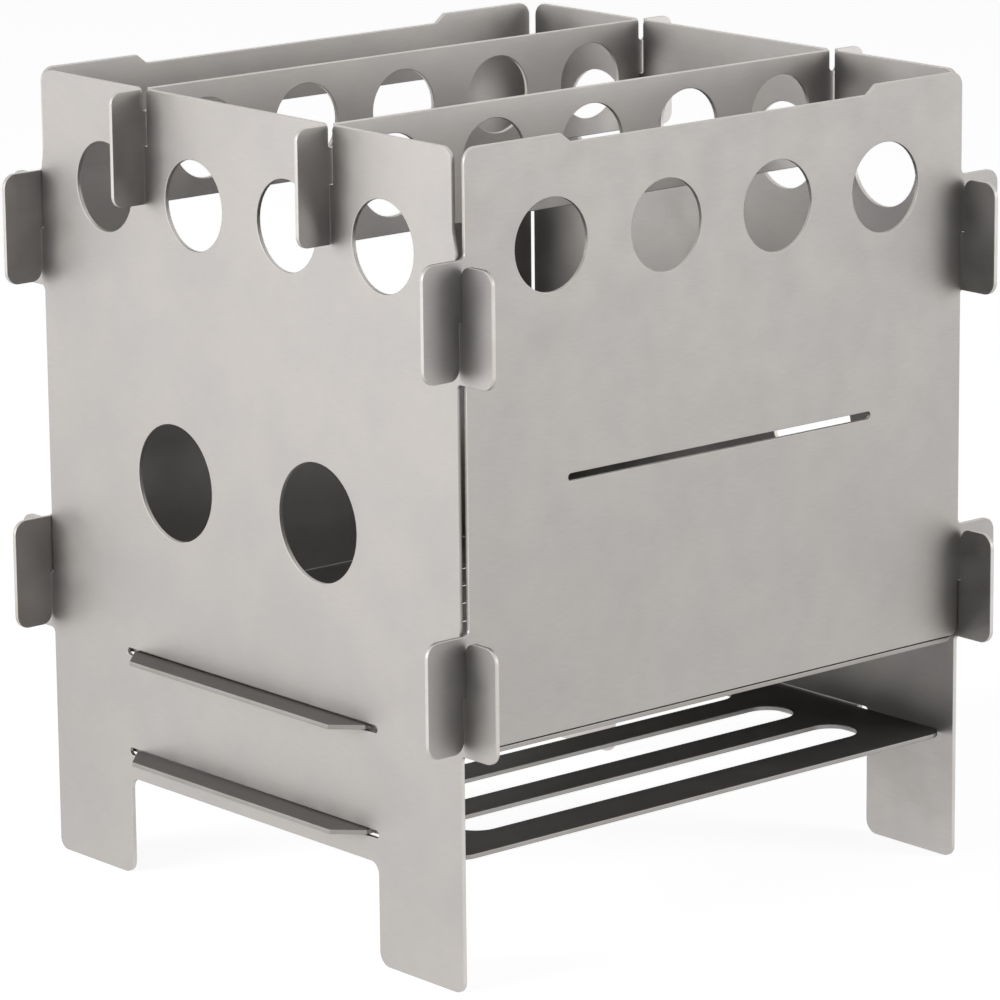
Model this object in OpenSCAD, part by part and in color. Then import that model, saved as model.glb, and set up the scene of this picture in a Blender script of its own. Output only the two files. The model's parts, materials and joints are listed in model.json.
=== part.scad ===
// Folding wood stove of eight flat steel sheets that hook together without tools.
// The front looks along -Y and the feet stand on the plane z = 0.

/* [Stove] */
// Width over the outer faces of the walls, the same in both directions
stove_w = 140; // [125:1:180]
// Height of the walls above the ground
stove_h = 173; // [168:1:210]
// Thickness of every sheet
sheet_t = 1; // [0.8:0.1:1.5]

/* [Clearances] */
// Width that a slot has beyond the sheet it takes
slot_play = 0.6; // [0.4:0.1:1]
// Width that a crossbar's slot and its upper notch have beyond the sheets
bar_play = 1.4; // [0.6:0.1:2]
// Gap left where one sheet seats on another
seat_gap = 0.2; // [0.1:0.05:0.4]
// Gap between the side edge of a wall and the face of the wall beside it
edge_gap = 0.4; // [0.2:0.1:1]
// Gap between a grate and the inner faces of the front and rear walls
grate_gap = 0.3; // [0.2:0.1:1]
// Sideways room that a grate's tab has at each end of its slot
tab_play = 3.2; // [1:0.1:5]

/* [Ears] */
// How far an ear reaches past the outer face of the wall it crosses
ear_reach = 9.5; // [6:0.5:14]
// Height of an ear
ear_h = 24; // [20:1:28]
// Height of the neck that ties an ear to its wall
ear_neck = 12.5; // [10:0.5:15]
// Height of the upper pairs of ears, where the two necks meet
upper_seat_z = 138.5; // [125:0.5:150]
// Height of the lower pairs of ears, where the two necks meet
lower_seat_z = 62.5; // [60:0.5:75]
// Radius of an ear's outer corners
ear_r = 3; // [1:0.5:4]
// Radius of an ear's corner at the mouth of its slot
ear_mouth_r = 2.5; // [1:0.5:2.5]
// Radius of the small corners in the ears, the slots and the cut-outs
nick_r = 1.2; // [0.5:0.1:2]

/* [Air holes] */
// Radius of the holes in the top rows of the front, rear and right walls
hole_r = 9.6; // [6:0.1:11]
// Distance between the holes of a row, and between each crossbar's slot and the middle
hole_pitch = 30.8; // [26:0.1:34]
// Depth of the front and rear rows below the top edge
end_row_drop = 22.6; // [20:0.1:26]
// Depth of the right wall's row below the top edge
side_row_drop = 22; // [20:0.1:26]
// Radius of the two low air vents in the front and rear walls
vent_r = 12.6; // [8:0.1:16]
// Distance between the two vents
vent_pitch = 47.8; // [40:0.1:60]
// Height of the vents' centres above the ground
vent_z = 90; // [80:0.5:105]

/* [Front and rear walls] */
// How much narrower each side edge is above the ears
swell = 1; // [0.5:0.1:2]
// Height of the slope that leads in to the narrow part
swell_h = 4.5; // [2:0.5:8]
// Gap between the top of the upper ears and that slope
swell_rise = 2; // [1:0.5:5]
// Radius of the top corners of all the walls
top_r = 3; // [2:0.5:6]
// Width of the cut-out between the legs
leg_gap = 84; // [60:1:100]
// Height of the cut-out between the legs
leg_h = 21.7; // [12:0.1:24]
// Radius of the legs' corners beside the cut-out
leg_inner_r = 3; // [2:0.5:8]
// Radius of the legs' outer corners
leg_outer_r = 2.5; // [1:0.5:5]
// Radius of the cut-out's own corners
leg_top_r = 2.5; // [1:0.5:5]

/* [Side walls] */
// Height of the thin slot across the right wall, level with the sill of the left wall's opening
side_slot_z = 103; // [90:1:115]
// Width of the feed opening in the left wall
feed_w = 84; // [60:1:100]
// Depth of the feed opening's top below the top edge
feed_drop = 14.4; // [12:0.1:20]
// Radius of the feed opening's corners
feed_r = 5.5; // [2:0.5:10]
// Depth of the shallow recess in the top edge
recess_d = 2; // [1:0.5:5]
// Width of the recess at the top edge
recess_w = 86.8; // [60:0.2:100]
// Length that each end of the recess slopes over
recess_slope = 2.6; // [1:0.1:6]
// Radius of the bottom corners
side_bottom_r = 2; // [1:0.5:4]

/* [Crossbars] */
// How far both crossbars sit off the middle, towards +X
bar_shift = -1.2; // [-2:0.1:2]
// Height of a crossbar
bar_h = 24.4; // [20:0.1:30]
// How far a hook reaches past the outer face of the wall
hook_reach = 8.4; // [6:0.1:14]
// Radius of a hook's outer corners
hook_r = 2.5; // [1:0.5:4]
// Depth of the notch over each end wall
notch_d = 4.7; // [2:0.1:6]
// Radius of the holes along a crossbar
bar_hole_r = 8.5; // [5:0.1:9]
// Metal left between the last hole and the notch over the end wall
bar_end_land = 6; // [4:0.1:9]
// Number of holes in a crossbar
bar_holes = 5; // [3:1:5]

/* [Grates] */
// Height of the fire grate's middle plane
fire_grate_z = 50; // [46:0.1:52]
// Height of the ash grate's middle plane
ash_grate_z = 27.7; // [26:0.1:34]
// Gap between the fire grate's side edges and the outer faces of the side walls, which stand on it
fire_grate_inset = 0; // [0:0.1:0.9]
// Gap between the ash grate's side edges and the outer faces of the side walls
ash_grate_inset = 3.5; // [0:0.1:6]
// Width of a tab where it passes its wall
tab_w = 78; // [50:1:90]
// How far a tab reaches past the outer face of its wall
tab_reach = 6; // [3:0.5:10]
// Size of the slanted corners of a tab
tab_slant = 5.5; // [1:0.1:5.7]
// Radius of a grate's four corners
grate_r = 4; // [1:0.5:6]
// Length of each opening in a grate
gap_len = 112; // [60:1:114]
// Width of each opening in the fire grate
fire_gap_w = 3; // [2:0.5:6]
// Distance between the fire grate's openings
fire_gap_pitch = 12; // [8:0.5:14]
// Number of openings in the fire grate
fire_gaps = 9; // [3:1:9]
// Width of each opening in the ash grate
ash_gap_w = 11; // [6:0.5:12]
// Distance between the ash grate's openings
ash_gap_pitch = 20; // [17:0.5:21]
// Number of openings in the ash grate
ash_gaps = 6; // [2:1:6]

/* [Hidden] */
$fn = 64;
// Overlap that keeps cuts and unions clean
over = 0.01;
// Distance from the middle of the stove to a wall's middle plane
wall_mid = stove_w / 2 - sheet_t / 2;
// Width of the slots that take a wall or a grate's tab
slot_w = sheet_t + slot_play;
// Width of the slots and notches that show at the top of a crossbar's ends
bar_slot_w = sheet_t + bar_play;
// Half the width of a wall between its ears
wall_half = stove_w / 2 - sheet_t - edge_gap;
// Distance from the middle of the stove to an ear's far tip
ear_tip = stove_w / 2 + ear_reach;
// Distance from the middle of the stove to the far side of an ear's slot
ear_slot_far = wall_mid + slot_w / 2;
// Heights where the walls' ears cross
seats_z = [lower_seat_z, upper_seat_z];
// Places of the crossbars' middle planes, between the holes of the end walls
bars_x = [bar_shift - hole_pitch, bar_shift + hole_pitch];
// Height of a crossbar's underside
bar_z = stove_h - bar_h;
// Distance between the holes of a crossbar, which fill the length between its notches
bar_hole_pitch = 2 * (wall_mid - bar_slot_w / 2 - bar_end_land - bar_hole_r) / (bar_holes - 1);
// Height of the side walls' bottom edge, just above the fire grate's top
side_bottom_z = fire_grate_z + sheet_t / 2 + seat_gap;
// Length of each slot that takes a grate's tab
tab_slot_len = tab_w + 2 * tab_play;
// Height where the end walls start to narrow
swell_z = upper_seat_z - ear_neck + ear_h + swell_rise;
// Holes in each top row
row_holes = 4;
steel = [0.76, 0.75, 0.73];
bright_steel = [0.82, 0.81, 0.79];
dull_steel = [0.62, 0.61, 0.59];

// Draws its children again on the other side of the vertical axis
module both_sides() {
    children();
    mirror([1, 0]) children();
}

// Sliver between a square corner at the origin and the arc that rounds it.
// Taken away it rounds a corner, and added it fills one.
module corner_sliver(r) {
    difference() {
        translate([-over, -over]) square(r + over);
        translate([r, r]) circle(r);
    }
}

// Slot with round ends, centred on the origin
module round_slot(len, width) {
    square([len - width, width], center = true);
    both_sides() translate([(len - width) / 2, 0]) circle(width / 2);
}

// Row of holes at equal distances, centred on the origin
module hole_row(count, pitch, r) {
    for (i = [0 : count - 1]) translate([(i - (count - 1) / 2) * pitch, 0]) circle(r);
}

// Ear on the right edge of a wall, with its seat at height 0 and its neck below
module ear() {
    top = ear_h - ear_neck;
    difference() {
        union() {
            translate([wall_half - over, -ear_neck])
                square([ear_tip - wall_half + over, ear_neck - seat_gap / 2]);
            translate([ear_slot_far, -ear_neck]) square([ear_tip - ear_slot_far, ear_h]);
        }
        translate([ear_tip, -ear_neck]) rotate(90) corner_sliver(ear_r);
        translate([ear_tip, top]) rotate(180) corner_sliver(ear_r);
        translate([ear_slot_far, top]) rotate(270) corner_sliver(ear_mouth_r);
    }
    translate([wall_half, -ear_neck]) rotate(270) corner_sliver(nick_r);
}

// Plain sheet of an end wall, narrower above the ears
module end_wall_body() {
    top_half = wall_half - swell;
    difference() {
        polygon([
            [-wall_half, 0], [wall_half, 0],
            [wall_half, swell_z], [top_half, swell_z + swell_h],
            [top_half, stove_h], [-top_half, stove_h],
            [-top_half, swell_z + swell_h], [-wall_half, swell_z]
        ]);
        both_sides() {
            translate([top_half, stove_h]) rotate(180) corner_sliver(top_r);
            translate([wall_half, 0]) rotate(90) corner_sliver(leg_outer_r);
            translate([leg_gap / 2, 0]) corner_sliver(leg_inner_r);
        }
    }
}

// Cut-out between the legs, with rounded upper corners
module leg_cutout() {
    difference() {
        translate([-leg_gap / 2, -over]) square([leg_gap, leg_h + over]);
        both_sides() translate([leg_gap / 2, leg_h]) rotate(180) corner_sliver(leg_top_r);
    }
}

// Slot open at the top edge that takes a crossbar, with eased mouth corners
module crossbar_slot() {
    floor_z = bar_z + bar_h / 2 - seat_gap / 2;
    translate([-bar_slot_w / 2, floor_z]) square([bar_slot_w, stove_h - floor_z + over]);
    translate([bar_slot_w / 2, stove_h]) rotate(270) corner_sliver(nick_r);
    translate([-bar_slot_w / 2, stove_h]) rotate(180) corner_sliver(nick_r);
}

// Outline of the front and rear walls
module end_wall_outline() {
    difference() {
        union() {
            end_wall_body();
            for (z = seats_z) both_sides() translate([0, z]) ear();
        }
        leg_cutout();
        for (x = bars_x) translate([x, 0]) crossbar_slot();
        translate([0, stove_h - end_row_drop]) hole_row(row_holes, hole_pitch, hole_r);
        translate([0, vent_z]) hole_row(2, vent_pitch, vent_r);
        translate([0, fire_grate_z]) round_slot(tab_slot_len, slot_w);
        translate([0, ash_grate_z]) round_slot(tab_slot_len, slot_w);
    }
}

// Shallow recess in the top edge of a side wall
module top_recess() {
    floor_half = recess_w / 2 - recess_slope;
    floor_z = stove_h - recess_d;
    polygon([
        [-floor_half, floor_z], [floor_half, floor_z],
        [recess_w / 2, stove_h], [recess_w / 2, stove_h + 1],
        [-recess_w / 2, stove_h + 1], [-recess_w / 2, stove_h]
    ]);
}

// Plain outline of both side walls, whose ears have their necks above the seats
module side_wall_body() {
    difference() {
        union() {
            translate([-wall_half, side_bottom_z])
                square([2 * wall_half, stove_h - side_bottom_z]);
            for (z = seats_z) both_sides() translate([0, z]) mirror([0, 1]) ear();
        }
        both_sides() {
            translate([wall_half, stove_h]) rotate(180) corner_sliver(top_r);
            translate([wall_half, side_bottom_z]) rotate(90) corner_sliver(side_bottom_r);
        }
        top_recess();
    }
}

// Large opening with round corners, for feeding wood from the side
module feed_opening() {
    sill_z = side_slot_z - slot_w / 2;
    head_z = stove_h - feed_drop;
    difference() {
        translate([-feed_w / 2, sill_z]) square([feed_w, head_z - sill_z]);
        both_sides() {
            translate([feed_w / 2, sill_z]) rotate(90) corner_sliver(feed_r);
            translate([feed_w / 2, head_z]) rotate(180) corner_sliver(feed_r);
        }
    }
}

// Outline of the right wall, with a row of holes and a thin slot
module right_wall_outline() {
    difference() {
        side_wall_body();
        translate([0, stove_h - side_row_drop]) hole_row(row_holes, hole_pitch, hole_r);
        translate([0, side_slot_z]) round_slot(tab_slot_len, slot_w);
    }
}

// Outline of the left wall, with the feed opening
module left_wall_outline() {
    difference() {
        side_wall_body();
        feed_opening();
    }
}

// Notches that let one end of a crossbar straddle an end wall
module wall_notches() {
    seat_z = bar_z + bar_h / 2 + seat_gap / 2;
    round_z = stove_h - notch_d + bar_slot_w / 2;
    translate([wall_mid - slot_w / 2, bar_z - over]) square([slot_w, seat_z - bar_z + over]);
    translate([wall_mid - bar_slot_w / 2, round_z]) square([bar_slot_w, stove_h - round_z + over]);
    translate([wall_mid, round_z]) circle(bar_slot_w / 2);
}

// Outline of a crossbar with a hook at each end
module crossbar_outline() {
    tip = stove_w / 2 + hook_reach;
    difference() {
        translate([-tip, bar_z]) square([2 * tip, bar_h]);
        translate([0, bar_z + bar_h / 2]) hole_row(bar_holes, bar_hole_pitch, bar_hole_r);
        both_sides() {
            wall_notches();
            translate([tip, bar_z]) rotate(90) corner_sliver(hook_r);
            translate([tip, stove_h]) rotate(180) corner_sliver(hook_r);
        }
    }
}

// Tab of a grate on its +Y edge, with slanted corners
module grate_tab() {
    edge = stove_w / 2 - sheet_t - grate_gap;
    tip = stove_w / 2 + tab_reach;
    polygon([
        [-tab_w / 2, edge - over], [tab_w / 2, edge - over],
        [tab_w / 2, tip - tab_slant], [tab_w / 2 - tab_slant, tip],
        [-tab_w / 2 + tab_slant, tip], [-tab_w / 2, tip - tab_slant]
    ]);
}

// Outline of a grate seen from above, with a row of long openings
module grate_outline(half_w, count, pitch, width) {
    edge = stove_w / 2 - sheet_t - grate_gap;
    difference() {
        square([2 * half_w, 2 * edge], center = true);
        for (side = [0, 180]) rotate(side) both_sides()
            translate([half_w, edge]) rotate(180) corner_sliver(grate_r);
        for (i = [0 : count - 1])
            translate([(i - (count - 1) / 2) * pitch, 0]) rotate(90) round_slot(gap_len, width);
    }
    for (side = [0, 180]) rotate(side) grate_tab();
}

// Stands an outline upright across the stove, with its middle plane at y
module stand_across(y) {
    translate([0, y + sheet_t / 2, 0]) rotate([90, 0, 0]) linear_extrude(sheet_t) children();
}

// Stands an outline upright along the stove, with its middle plane at x
module stand_along(x) {
    translate([x - sheet_t / 2, 0, 0]) rotate([90, 0, 90]) linear_extrude(sheet_t) children();
}

// Lays an outline flat, with its middle plane at z
module lay_flat(z) {
    translate([0, 0, z - sheet_t / 2]) linear_extrude(sheet_t) children();
}

module front_wall() color(bright_steel) stand_across(-wall_mid) end_wall_outline();

module rear_wall() color(bright_steel) stand_across(wall_mid) end_wall_outline();

module right_wall() color(steel) stand_along(wall_mid) right_wall_outline();

module left_wall() color(steel) stand_along(-wall_mid) left_wall_outline();

module right_crossbar() color(steel) stand_along(bars_x[1]) crossbar_outline();

module left_crossbar() color(steel) stand_along(bars_x[0]) crossbar_outline();

module fire_grate() color(dull_steel) lay_flat(fire_grate_z)
    grate_outline(stove_w / 2 - fire_grate_inset, fire_gaps, fire_gap_pitch, fire_gap_w);

module ash_grate() color(dull_steel) lay_flat(ash_grate_z)
    grate_outline(stove_w / 2 - ash_grate_inset, ash_gaps, ash_gap_pitch, ash_gap_w);

front_wall();
rear_wall();
right_wall();
left_wall();
right_crossbar();
left_crossbar();
fire_grate();
ash_grate();
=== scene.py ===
"""Looks of the folding wood stove: eight laser-cut steel sheets, a studio and the photo's camera.

Every sheet is finished from a merged copy of its CAD node: its cut edges are rounded over, and
the faces and the cut edges each get their own steel. All lengths are in metres.
"""

import json
import logging
import math
from dataclasses import dataclass
from enum import Enum

import bpy
from mathutils import Matrix, Vector

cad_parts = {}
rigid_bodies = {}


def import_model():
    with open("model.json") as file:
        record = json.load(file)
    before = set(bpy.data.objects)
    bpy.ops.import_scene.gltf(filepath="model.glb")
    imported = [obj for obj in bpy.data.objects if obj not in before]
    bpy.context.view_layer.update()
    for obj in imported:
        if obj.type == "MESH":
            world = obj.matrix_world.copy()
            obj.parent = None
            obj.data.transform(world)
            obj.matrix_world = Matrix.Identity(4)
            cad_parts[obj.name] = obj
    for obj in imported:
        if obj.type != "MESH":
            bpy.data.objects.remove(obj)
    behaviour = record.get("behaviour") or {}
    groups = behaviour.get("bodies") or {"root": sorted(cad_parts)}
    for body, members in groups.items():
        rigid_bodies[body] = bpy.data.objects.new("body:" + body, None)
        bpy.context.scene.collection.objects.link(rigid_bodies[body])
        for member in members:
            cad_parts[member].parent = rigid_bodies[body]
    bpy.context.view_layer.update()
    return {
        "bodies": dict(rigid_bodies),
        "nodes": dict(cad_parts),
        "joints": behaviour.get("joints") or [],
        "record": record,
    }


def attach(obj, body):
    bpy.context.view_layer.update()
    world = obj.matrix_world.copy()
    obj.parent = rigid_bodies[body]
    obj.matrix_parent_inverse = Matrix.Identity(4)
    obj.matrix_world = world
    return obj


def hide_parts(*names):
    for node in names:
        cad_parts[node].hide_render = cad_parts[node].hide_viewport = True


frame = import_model()

log = logging.getLogger("wood_stove")

Triple = tuple[float, float, float]
Pair = tuple[float, float]
Colour = Triple
Socket = bpy.types.NodeSocket

MM = 0.001
WHITE: Colour = (1.0, 1.0, 1.0)

# Body of the front and rear walls and the grates. Every other sheet is a body of its own name.
STOVE_FRAME = "stove_frame"

# Stretch of the steel's fine grain, small along the rolling direction.
ROLLED_ALONG_X: Triple = (0.10, 1.0, 1.0)
ROLLED_ALONG_Y: Triple = (1.0, 0.10, 1.0)

# Factor, first colour, second colour and result of a Mix node, where sockets share their names.
MIX_INPUTS = (0, 6, 7)
MIX_RESULT = 2

# Ray Depth of a first reflection, as a material and as the world read it.
DEPTH_ON_SURFACE = 1
DEPTH_IN_WORLD = 2


class Axis(Enum):
    """Axis of the frame that a sheet's thickness lies along."""

    X = 0
    Y = 1
    Z = 2


class Slot(Enum):
    """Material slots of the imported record."""

    WALL = "wall_steel"
    CROSSBAR = "crossbar_steel"
    GRATE = "grate_steel"


class Shown(Enum):
    """Rays that see the white surroundings, as output names of the Light Path node."""

    CAMERA = "Is Camera Ray"
    GLOSSY = "Is Glossy Ray"
    TRANSMISSION = "Is Transmission Ray"


class Sum(Enum):
    """Operations of the Math node."""

    ADD = "ADD"
    MULTIPLY = "MULTIPLY"
    LESS_THAN = "LESS_THAN"


class Blend(Enum):
    """Ways of mixing two colours."""

    MIX = "MIX"
    MULTIPLY = "MULTIPLY"


@dataclass(frozen=True)
class Speckle:
    """Size of a noise pattern.

    Args:
        per_metre: Patches in a metre.
        detail: Octaves of finer noise.
    """

    per_metre: float
    detail: float = 2.0


class NodeBoard:
    """Lays out the nodes of one material or world."""

    def __init__(self, tree: bpy.types.NodeTree) -> None:
        """Empties the tree.

        Args:
            tree: Node tree of a material or a world.
        """
        self.tree = tree
        self.tree.nodes.clear()

    def add(self, kind: str, label: str, **settings: str) -> bpy.types.Node:
        """Adds a node.

        Args:
            kind: Blender's name for the node type.
            label: What the node does here.
            settings: Properties of the node to set.

        Returns:
            The new node.
        """
        made = self.tree.nodes.new(kind)
        made.name = made.label = label
        for key, value in settings.items():
            setattr(made, key, value)
        return made

    def join(self, source: Socket, target: Socket) -> None:
        """Links an output to an input."""
        self.tree.links.new(source, target)

    def fill(self, target: Socket, value: Socket | float | Colour) -> None:
        """Links an input, or sets it.

        Args:
            target: Input to fill.
            value: Output to link it to, or the number or colour that it gets.
        """
        if isinstance(value, Socket):
            self.join(value, target)
        elif isinstance(value, tuple):
            target.default_value = (*value, 1.0)
        else:
            target.default_value = value

    def object_coordinates(self, label: str, scale: Triple) -> Socket:
        """Gives Object coordinates stretched by a scale.

        Args:
            label: What the coordinates are for.
            scale: Factor along each axis.

        Returns:
            The stretched coordinates.
        """
        place = self.add("ShaderNodeTexCoord", f"{label} coordinates")
        mapping = self.add("ShaderNodeMapping", f"{label} mapping")
        mapping.inputs["Scale"].default_value = scale
        self.join(place.outputs["Object"], mapping.inputs["Vector"])
        return mapping.outputs["Vector"]

    def noise(self, label: str, size: Speckle, scale: Triple = (1.0, 1.0, 1.0)) -> Socket:
        """Adds a noise on Object coordinates.

        Args:
            label: What the noise stands for.
            size: Size of its pattern.
            scale: Extra stretch along each axis.

        Returns:
            The noise's factor.
        """
        made = self.add("ShaderNodeTexNoise", label)
        made.inputs["Scale"].default_value = size.per_metre
        made.inputs["Detail"].default_value = size.detail
        self.join(self.object_coordinates(label, scale), made.inputs["Vector"])
        return made.outputs["Fac"]

    def ramp(
        self, label: str, factor: Socket, stops: Pair, colours: tuple[Colour, Colour]
    ) -> Socket:
        """Turns a factor into a colour between two.

        Args:
            label: What the colours stand for.
            factor: Where along the ramp to read.
            stops: Positions of the two colours.
            colours: The two colours.

        Returns:
            The colour.
        """
        made = self.add("ShaderNodeValToRGB", label)
        for element, position, colour in zip(made.color_ramp.elements, stops, colours):
            element.position = position
            element.color = (*colour, 1.0)
        self.join(factor, made.inputs["Fac"])
        return made.outputs["Color"]

    def span(
        self, label: str, factor: Socket, result: Pair, source: Pair = (0.3, 0.7)
    ) -> Socket:
        """Maps a factor to a range.

        Args:
            label: What the range stands for.
            factor: Value to map.
            result: Ends of the range.
            source: Ends of the value's own range.

        Returns:
            The mapped value.
        """
        made = self.add("ShaderNodeMapRange", label)
        made.inputs["From Min"].default_value, made.inputs["From Max"].default_value = source
        made.inputs["To Min"].default_value, made.inputs["To Max"].default_value = result
        self.join(factor, made.inputs["Value"])
        return made.outputs["Result"]

    def calculate(
        self, label: str, operation: Sum, first: Socket, second: Socket | float
    ) -> Socket:
        """Adds a Math node.

        Args:
            label: What the sum stands for.
            operation: What it does.
            first: First value.
            second: Second value.

        Returns:
            The result.
        """
        made = self.add("ShaderNodeMath", label, operation=operation.value)
        for target, value in zip(made.inputs, (first, second)):
            self.fill(target, value)
        return made.outputs["Value"]

    def mix(
        self, label: str, factor: Socket | float, first: Socket, second: Socket | Colour,
        blend: Blend = Blend.MIX
    ) -> Socket:
        """Mixes two colours.

        Args:
            label: What the mix stands for.
            factor: How much of the second colour there is.
            first: First colour.
            second: Second colour.
            blend: How the second meets the first.

        Returns:
            The mixed colour.
        """
        made = self.add("ShaderNodeMix", label, data_type="RGBA", blend_type=blend.value)
        for number, value in zip(MIX_INPUTS, (factor, first, second)):
            self.fill(made.inputs[number], value)
        return made.outputs[MIX_RESULT]

    def shown_white(self, first_depth: int) -> Socket:
        """Gives 1 for rays that show the white surroundings.

        The camera and glass see them, and steel shows them in its first reflection. Light that goes
        on between the sheets meets the real floor and the real sky, so the inside stays dark.

        Args:
            first_depth: Ray Depth of a first reflection.

        Returns:
            The factor.
        """
        path = self.add("ShaderNodeLightPath", "Light path")
        camera, glossy, glass = (path.outputs[ray.value] for ray in Shown)
        halfway_to_second = first_depth + 0.5
        first = self.calculate(
            "First reflection", Sum.LESS_THAN, path.outputs["Ray Depth"], halfway_to_second
        )
        steel = self.calculate("Steel shows it", Sum.MULTIPLY, glossy, first)
        seen = self.calculate("Camera and glass", Sum.ADD, camera, glass)
        return self.calculate("Shown white", Sum.ADD, seen, steel)


class SteelBoard(NodeBoard):
    """Lays out the nodes of one steel, all round a single metal shader."""

    def __init__(self, name: str, label: str) -> None:
        """Makes the material and its shader.

        Args:
            name: Material name.
            label: What the shader stands for.
        """
        self.material = bpy.data.materials.new(name)
        self.material.use_nodes = True
        super().__init__(self.material.node_tree)
        out = self.add("ShaderNodeOutputMaterial", "Output")
        self.shader = self.add("ShaderNodeBsdfPrincipled", label)
        self.shader.inputs["Metallic"].default_value = 1.0
        self.join(self.shader.outputs["BSDF"], out.inputs["Surface"])

    def feed(self, name: str, source: Socket) -> None:
        """Links an output to the shader's input of that name."""
        self.join(source, self.shader.inputs[name])

    def emboss(self, label: str, height: Socket, strength: float, depth: float) -> None:
        """Gives the shader a bump.

        Args:
            label: What the bump stands for.
            height: Pattern that it follows.
            strength: How far the normals turn.
            depth: Height of the pattern.
        """
        bump = self.add("ShaderNodeBump", label)
        bump.inputs["Strength"].default_value = strength
        bump.inputs["Distance"].default_value = depth
        self.join(height, bump.inputs["Height"])
        self.feed("Normal", bump.outputs["Normal"])


@dataclass(frozen=True)
class SheetSteel:
    """Satin stainless sheet, as it comes from the rolling mill.

    Args:
        name: Material name.
        rolled: Stretch of the fine grain along each axis, small along the rolling direction.
        shade: Factor on all three colours, painted light above 1 and painted shade below 1.
        warm: Colour of the warmer patches.
        cool: Colour of the cooler patches.
        dull: Colour that the handled patches go towards.
        tint: Pattern of the warmer and the cooler patches.
        tint_stops: Where in it the warm colour ends and the cool one begins.
        smudges: Pattern of the handled patches.
        smudge_ends: Where in it they begin, and where they are strongest.
        smudge_share: Share of the dull colour where they are strongest.
        grain: Pattern of the fine grain.
        grain_stops: Where in it the dark lines end and the light ones begin.
        grain_dark: Factor on the colour in the dark lines.
        grain_depth: Height of the fine grain.
        grain_strength: Strength of its bump.
        wear: Pattern of the smoother and the rougher patches.
        roughness: Lowest and highest roughness.
    """

    name: str
    rolled: Triple
    shade: float = 1.0
    warm: Colour = (0.476, 0.454, 0.432)
    cool: Colour = (0.456, 0.436, 0.428)
    dull: Colour = (0.404, 0.386, 0.371)
    tint: Speckle = Speckle(62.0, 3.0)
    tint_stops: Pair = (0.38, 0.62)
    smudges: Speckle = Speckle(24.0, 4.0)
    smudge_ends: Pair = (0.45, 0.75)
    smudge_share: float = 0.30
    grain: Speckle = Speckle(2600.0, 3.0)
    grain_stops: Pair = (0.30, 0.70)
    grain_dark: float = 0.955
    grain_depth: float = 0.012 * MM
    grain_strength: float = 0.5
    wear: Speckle = Speckle(140.0)
    roughness: Pair = (0.46, 0.54)

    def make(self) -> bpy.types.Material:
        """Makes the material.

        Returns:
            The new material.
        """
        board = SteelBoard(self.name, "Steel")
        patches = board.noise("Tint patches", self.tint)
        # The shade paints light (above 1) and shade (below 1) onto the whole sheet's colours.
        warm, cool, dull = (
            tuple(self.shade * part for part in colour)
            for colour in (self.warm, self.cool, self.dull)
        )
        tint = board.ramp("Tint", patches, self.tint_stops, (warm, cool))
        smudges = board.noise("Handling smudges", self.smudges)
        dulling = board.span("Dulling", smudges, (0.0, self.smudge_share), self.smudge_ends)
        dulled = board.mix("Dulled", dulling, tint, dull)
        grain = board.noise("Rolled grain", self.grain, self.rolled)
        dark = (self.grain_dark,) * 3
        lines = board.ramp("Grain shade", grain, self.grain_stops, (dark, WHITE))
        board.feed("Base Color", board.mix("Grained", 1.0, dulled, lines, Blend.MULTIPLY))
        wear = board.noise("Roughness patches", self.wear)
        board.feed("Roughness", board.span("Roughness", wear, self.roughness))
        board.emboss("Grain bump", grain, self.grain_strength, self.grain_depth)
        return board.material


@dataclass(frozen=True)
class CutEdge:
    """Laser-cut edge, finely ribbed through the sheet.

    Args:
        name: Material name.
        through: Axis of the sheet's thickness.
        shade: Factor on both colours, painted shade where it is below 1.
        bright: Colour of the clean steel.
        straw: Faint heat tint between clean patches.
        heat: Pattern of the heat tint.
        heat_stops: Where in it the tint ends and the clean steel begins.
        rib_pitch: Distance between ribs along the cut.
        rib_stretch: Stretch of the ribs' pattern through the sheet.
        rib_stops: Where in it the dark ribs end and the light ones begin.
        rib_dark: Factor on the colour in the dark ribs.
        rib_depth: Height of the ribs.
        rib_strength: Strength of their bump.
        roughness: Lowest and highest roughness.
    """

    name: str
    through: Axis
    shade: float = 1.0
    bright: Colour = (0.60, 0.58, 0.565)
    straw: Colour = (0.56, 0.53, 0.49)
    heat: Speckle = Speckle(90.0)
    heat_stops: Pair = (0.35, 0.60)
    rib_pitch: float = 0.35 * MM
    rib_stretch: float = 0.12
    rib_stops: Pair = (0.30, 0.65)
    rib_dark: float = 0.92
    rib_depth: float = 0.01 * MM
    rib_strength: float = 0.3
    roughness: Pair = (0.44, 0.56)

    def make(self) -> bpy.types.Material:
        """Makes the material.

        Returns:
            The new material.
        """
        board = SteelBoard(self.name, "Cut steel")
        stretch = tuple(self.rib_stretch if axis is self.through else 1.0 for axis in Axis)
        ribs = board.noise("Laser ribs", Speckle(1.0 / self.rib_pitch), stretch)
        heat = board.noise("Heat tint", self.heat)
        tint = board.ramp("Heat colours", heat, self.heat_stops, (self.straw, self.bright))
        # The shade factor paints shade onto the cut edge where it is below 1.
        dark, light = (self.rib_dark * self.shade,) * 3, (self.shade,) * 3
        lines = board.ramp("Rib shade", ribs, self.rib_stops, (dark, light))
        board.feed("Base Color", board.mix("Ribbed", 1.0, tint, lines, Blend.MULTIPLY))
        board.feed("Roughness", board.span("Roughness", ribs, self.roughness))
        board.emboss("Rib bump", ribs, self.rib_strength, self.rib_depth)
        return board.material


def select_only(piece: bpy.types.Object) -> None:
    """Leaves one object selected and active.

    Args:
        piece: The object.
    """
    bpy.ops.object.select_all(action="DESELECT")
    piece.select_set(True)
    bpy.context.view_layer.objects.active = piece


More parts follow.
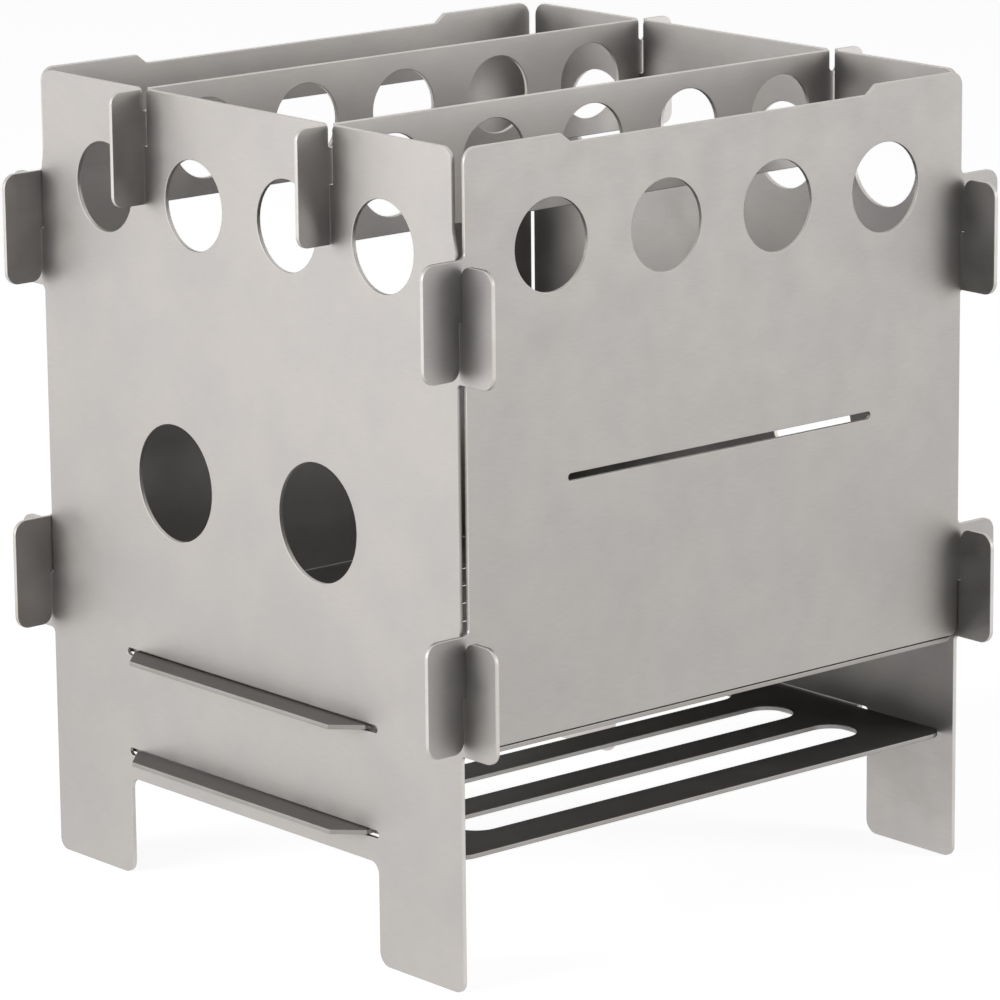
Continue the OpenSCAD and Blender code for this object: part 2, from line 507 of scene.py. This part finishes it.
@dataclass
class Sheet:
    """One laser-cut sheet, finished from its CAD node.

    Args:
        node: CAD node that the sheet stands for.
        body: CAD body that it moves with.
        through: Axis of its thickness.
        slot: Material slot of the record. It is not used.
        face: Finish of its two faces.
        edge_painted_shade: Factor on the brightness of the cut edges, painted shade where it is
            below 1.
        edge_radius: Radius that the cut edges are rounded over to.
        edge_steps: Faces across each rounded edge.
        weld: Distance within which the node's loose corners become one.
        flat_angle: Degrees within which its triangles become one flat face.
        sharp_angle: Degrees from which an edge is rounded over.
        smooth_angle: Degrees within which the shading runs on smoothly.
        face_normal: Least part of a face's normal that lies along the thickness.
    """

    node: str
    body: str
    through: Axis
    slot: Slot
    face: SheetSteel
    edge_painted_shade: float = 1.0
    edge_radius: float = 0.16 * MM
    edge_steps: int = 3
    weld: float = 0.001 * MM
    flat_angle: float = 0.5
    sharp_angle: float = 30.0
    smooth_angle: float = 35.0
    face_normal: float = 0.85

    def blank(self, packed: dict) -> bpy.types.Object:
        """Copies the CAD node's mesh and merges it into clean flat faces.


        Returns:
            The new object.
        """
        mesh = packed["nodes"][self.node].data.copy()
        piece = bpy.data.objects.new(f"{self.node}_sheet", mesh)
        bpy.context.scene.collection.objects.link(piece)
        select_only(piece)
        bpy.ops.mesh.customdata_custom_splitnormals_clear()
        bpy.ops.object.mode_set(mode="EDIT")
        bpy.ops.mesh.select_all(action="SELECT")
        bpy.ops.mesh.remove_doubles(threshold=self.weld)
        bpy.ops.mesh.dissolve_limited(
            angle_limit=math.radians(self.flat_angle), use_dissolve_boundaries=False
        )
        bpy.ops.object.mode_set(mode="OBJECT")
        return piece

    def round_over(self, piece: bpy.types.Object) -> None:
        """Rounds the cut edges over.

        Args:
            piece: Sheet to work on.
        """
        select_only(piece)
        bpy.ops.object.mode_set(mode="EDIT")
        bpy.ops.mesh.select_mode(type="EDGE")
        bpy.ops.mesh.select_all(action="DESELECT")
        bpy.ops.mesh.edges_select_sharp(sharpness=math.radians(self.sharp_angle))
        # Sliding along the edges would fold thin triangles over at the mouths of the slots.
        bpy.ops.mesh.bevel(
            offset=self.edge_radius, segments=self.edge_steps, affect="EDGES",
            clamp_overlap=False, loop_slide=False,
        )
        bpy.ops.object.mode_set(mode="OBJECT")

    def dress(self, piece: bpy.types.Object) -> None:
        """Gives the faces and the cut edges their steel, and smooths the round-over.

        Args:
            piece: Sheet to work on.
        """
        edge = CutEdge(f"{self.node}_cut_edge", self.through, self.edge_painted_shade)
        piece.data.materials.clear()
        for finish in (self.face, edge):
            piece.data.materials.append(finish.make())
        for polygon in piece.data.polygons:
            along_thickness = abs(polygon.normal[self.through.value])
            polygon.material_index = int(along_thickness < self.face_normal)
        select_only(piece)
        bpy.ops.object.shade_smooth_by_angle(angle=math.radians(self.smooth_angle))
        weighted = piece.modifiers.new("Flat faces stay flat", "WEIGHTED_NORMAL")
        weighted.keep_sharp = True
        bpy.ops.object.modifier_apply(modifier=weighted.name)

    def build(self, packed: dict) -> bpy.types.Object:
        """Builds the sheet and ties it to its body.


        Returns:
            The finished object.
        """
        piece = self.blank(packed)
        self.round_over(piece)
        self.dress(piece)
        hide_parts(self.node)
        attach(piece, self.body)
        log.info("%s: %d faces, rides on %s", piece.name, len(piece.data.polygons), self.body)
        return piece


@dataclass
class Stove:
    """The eight sheets of the stove. A shade is a factor on the colour of a sheet's steel.

    Args:
        front_painted_shading: Painted shading of the front wall, 1 by default.
        rear_painted_light: Painted light on the rear wall.
        right_painted_shade: Painted shade on the right wall.
        left_painted_light: Painted light on the left wall.
        crossbar_painted_light: Painted light on both crossbars.
        grate_painted_shade: Painted shade on both grates.
        grate_edge_painted_shade: Painted shade on the grates' cut edges.
    """

    # Painted light and shade: each factor lightens (above 1) or darkens (below 1) a whole sheet's
    # steel, in place of light and shade that the lamps don't give.
    front_painted_shading: float = 1.0
    rear_painted_light: float = 1.2
    right_painted_shade: float = 0.87
    left_painted_light: float = 1.4
    crossbar_painted_light: float = 1.25
    grate_painted_shade: float = 0.7
    grate_edge_painted_shade: float = 0.6

    def end_walls(self) -> list[Sheet]:
        """Lists the front and the rear wall, which stand on the floor.

        Returns:
            The two sheets.
        """
        return [
            Sheet(
                node, STOVE_FRAME, Axis.Y, Slot.WALL,
                SheetSteel(f"{node}_steel", ROLLED_ALONG_X, shade),
            )
            for node, shade in (("front_wall", self.front_painted_shading), ("rear_wall", self.rear_painted_light))
        ]

    def side_walls(self) -> list[Sheet]:
        """Lists the right and the left wall, which hook into the other two.

        Returns:
            The two sheets.
        """
        return [
            Sheet(node, node, Axis.X, Slot.WALL, SheetSteel(f"{node}_steel", ROLLED_ALONG_Y, shade))
            for node, shade in (("right_wall", self.right_painted_shade), ("left_wall", self.left_painted_light))
        ]

    def crossbars(self) -> list[Sheet]:
        """Lists the crossbars, which carry the pot.

        Returns:
            The two sheets.
        """
        return [
            Sheet(
                node, node, Axis.X, Slot.CROSSBAR,
                SheetSteel(f"{node}_steel", ROLLED_ALONG_Y, self.crossbar_painted_light),
            )
            for node in ("right_crossbar", "left_crossbar")
        ]

    def grates(self) -> list[Sheet]:
        """Lists the grates, whose steel and cut edges are darkened with painted shade.

        Returns:
            The two sheets.
        """
        return [
            Sheet(
                node, STOVE_FRAME, Axis.Z, Slot.GRATE,
                SheetSteel(f"{node}_steel", ROLLED_ALONG_Y, self.grate_painted_shade),
                self.grate_edge_painted_shade,
            )
            for node in ("fire_grate", "ash_grate")
        ]

    def build(self, packed: dict) -> list[bpy.types.Object]:
        """Builds every sheet.


        Returns:
            The finished objects.
        """
        sheets = [*self.end_walls(), *self.side_walls(), *self.crossbars(), *self.grates()]
        return [sheet.build(packed) for sheet in sheets]


def heading(azimuth: float, elevation: float) -> Vector:
    """Gives the direction in which a lamp or the camera stands.

    Args:
        azimuth: Direction from the stove in degrees, 0 towards -Y and 90 towards +X.
        elevation: Height above the horizon in degrees.

    Returns:
        The direction, at length 1.
    """
    a, e = math.radians(azimuth), math.radians(elevation)
    return Vector((math.sin(a) * math.cos(e), -math.cos(a) * math.cos(e), math.sin(e)))


@dataclass
class Softbox:
    """Soft lamp aimed at the stove.

    Args:
        name: Lamp name.
        azimuth: Direction from the stove in degrees, 0 towards -Y and 90 towards +X.
        level: Brightness of its face, where 1 is white.
        elevation: Height above the horizon in degrees.
        distance: Distance from the point that it looks at.
        width: Width of the lamp.
        height: Height of the lamp.
    """

    name: str
    azimuth: float
    level: float
    elevation: float = 12.0
    distance: float = 1.6
    width: float = 0.68
    height: float = 0.68

    def place(self, aim: Vector) -> bpy.types.Object:
        """Makes the lamp.

        Args:
            aim: Point that it looks at.

        Returns:
            The lamp.
        """
        back = heading(self.azimuth, self.elevation)
        bpy.ops.object.light_add(type="AREA", location=aim + back * self.distance)
        lamp = bpy.context.object
        lamp.name = self.name
        lamp.rotation_euler = back.to_track_quat("Z", "Y").to_euler()
        lamp.data.shape = "RECTANGLE"
        lamp.data.size, lamp.data.size_y = self.width, self.height
        lamp.data.energy = self.level * math.pi * self.width * self.height
        lamp.visible_camera = False
        return lamp


@dataclass
class Studio:
    """Plain pale floor, soft lamps and a dim sky.

    Args:
        floor_reach: Distance from the stove to the floor's edge.
        floor_gap: Distance from the feet down to the floor.
        floor_colour: Colour of the floor.
        floor_white: Extra brightness with which the floor shows white.
        sky: Colour of the sky that lights the stove.
        sky_level: Brightness of that sky.
        aim: Point that the lamps look at.
        lamps: Soft lamps.
    """

    floor_reach: float = 6.0
    floor_gap: float = 0.02 * MM
    floor_colour: Colour = (0.80, 0.80, 0.80)
    floor_white: float = 0.93
    sky: Colour = WHITE
    sky_level: float = 0.01
    aim: Triple = (0.0, 0.0, 0.09)
    lamps: tuple[Softbox, ...] = (
        Softbox("left_softbox", azimuth=-25.0, level=4.8),
        Softbox("front_softbox", azimuth=0.0, level=2.2),
        Softbox("right_softbox", azimuth=125.0, level=2.9),
    )

    def lay_floor(self) -> bpy.types.Object:
        """Lays the floor just under the feet.

        Returns:
            The floor.
        """
        bpy.ops.object.select_all(action="DESELECT")
        bpy.ops.mesh.primitive_plane_add(
            size=2 * self.floor_reach, location=(0.0, 0.0, -self.floor_gap)
        )
        floor = bpy.context.object
        floor.name = "studio_floor"
        floor.data.materials.append(self.paper())
        return floor

    def paper(self) -> bpy.types.Material:
        """Makes the floor's material, which takes shadows and shows white.

        Returns:
            The new material.
        """
        paper = bpy.data.materials.new("studio_paper")
        paper.use_nodes = True
        board = NodeBoard(paper.node_tree)
        out = board.add("ShaderNodeOutputMaterial", "Output")
        lit = board.add("ShaderNodeBsdfDiffuse", "Lit paper")
        lit.inputs["Color"].default_value = (*self.floor_colour, 1.0)
        glow = board.add("ShaderNodeEmission", "White")
        shown = board.shown_white(DEPTH_ON_SURFACE)
        level = board.calculate("White level", Sum.MULTIPLY, shown, self.floor_white)
        board.join(level, glow.inputs["Strength"])
        both = board.add("ShaderNodeAddShader", "Paper")
        board.join(lit.outputs["BSDF"], both.inputs[0])
        board.join(glow.outputs["Emission"], both.inputs[1])
        board.join(both.outputs["Shader"], out.inputs["Surface"])
        return paper

    def hang_sky(self) -> None:
        """Sets the world, dim for light and white where it shows."""
        world = bpy.data.worlds.new("studio_sky")
        bpy.context.scene.world = world
        world.use_nodes = True
        board = NodeBoard(world.node_tree)
        out = board.add("ShaderNodeOutputWorld", "Output")
        dim = board.add("ShaderNodeBackground", "Dim sky")
        dim.inputs["Color"].default_value = (*self.sky, 1.0)
        dim.inputs["Strength"].default_value = self.sky_level
        white = board.add("ShaderNodeBackground", "White sky")
        white.inputs["Color"].default_value = (*WHITE, 1.0)
        choice = board.add("ShaderNodeMixShader", "Sky")
        board.join(board.shown_white(DEPTH_IN_WORLD), choice.inputs["Fac"])
        board.join(dim.outputs["Background"], choice.inputs[1])
        board.join(white.outputs["Background"], choice.inputs[2])
        board.join(choice.outputs["Shader"], out.inputs["Surface"])

    def build(self) -> None:
        """Sets up the floor, the sky and the lamps."""
        self.lay_floor()
        self.hang_sky()
        for lamp in self.lamps:
            lamp.place(Vector(self.aim))
            log.info("%s at %g degrees, level %g", lamp.name, lamp.azimuth, lamp.level)


@dataclass
class PhotoCamera:
    """Camera of the photograph.

    Args:
        target: Point at the middle of the picture.
        azimuth: Direction from the target in degrees, 0 towards -Y and 90 towards +X.
        elevation: Height above the horizon in degrees.
        roll: Turn about the line of sight in degrees.
        distance: Distance from the target.
        lens: Focal length in millimetres.
        sensor: Width of the sensor in millimetres.
        clip: Nearest and farthest distance that it sees.
    """

    target: Triple = (0.0, -0.000609, 0.079304)
    azimuth: float = 49.545
    elevation: float = 13.496
    roll: float = -0.565
    distance: float = 1.18742
    lens: float = 198.37
    sensor: float = 36.0
    clip: Pair = (0.05, 40.0)

    def build(self) -> bpy.types.Object:
        """Makes the camera the scene's own.

        Returns:
            The camera.
        """
        a, r = math.radians(self.azimuth), math.radians(self.roll)
        back = heading(self.azimuth, self.elevation)
        right = Vector((math.cos(a), math.sin(a), 0.0))
        up = back.cross(right)
        turned = (
            right * math.cos(r) + up * math.sin(r),
            up * math.cos(r) - right * math.sin(r),
            back,
        )
        data = bpy.data.cameras.new("photo_camera")
        data.lens, data.sensor_width, data.sensor_fit = self.lens, self.sensor, "HORIZONTAL"
        data.clip_start, data.clip_end = self.clip
        camera = bpy.data.objects.new("photo_camera", data)
        bpy.context.scene.collection.objects.link(camera)
        camera.matrix_world = (
            Matrix.Translation(Vector(self.target) + back * self.distance)
            @ Matrix(turned).transposed().to_4x4()
        )
        bpy.context.scene.camera = camera
        return camera


def main() -> None:
    """Builds the stove, the studio and the camera."""
    logging.basicConfig(level=logging.INFO, format="%(message)s")
    bpy.context.scene.view_settings.view_transform = "Standard"
    Stove().build(frame)
    Studio().build()
    PhotoCamera().build()


if __name__ == "__main__":
    main()
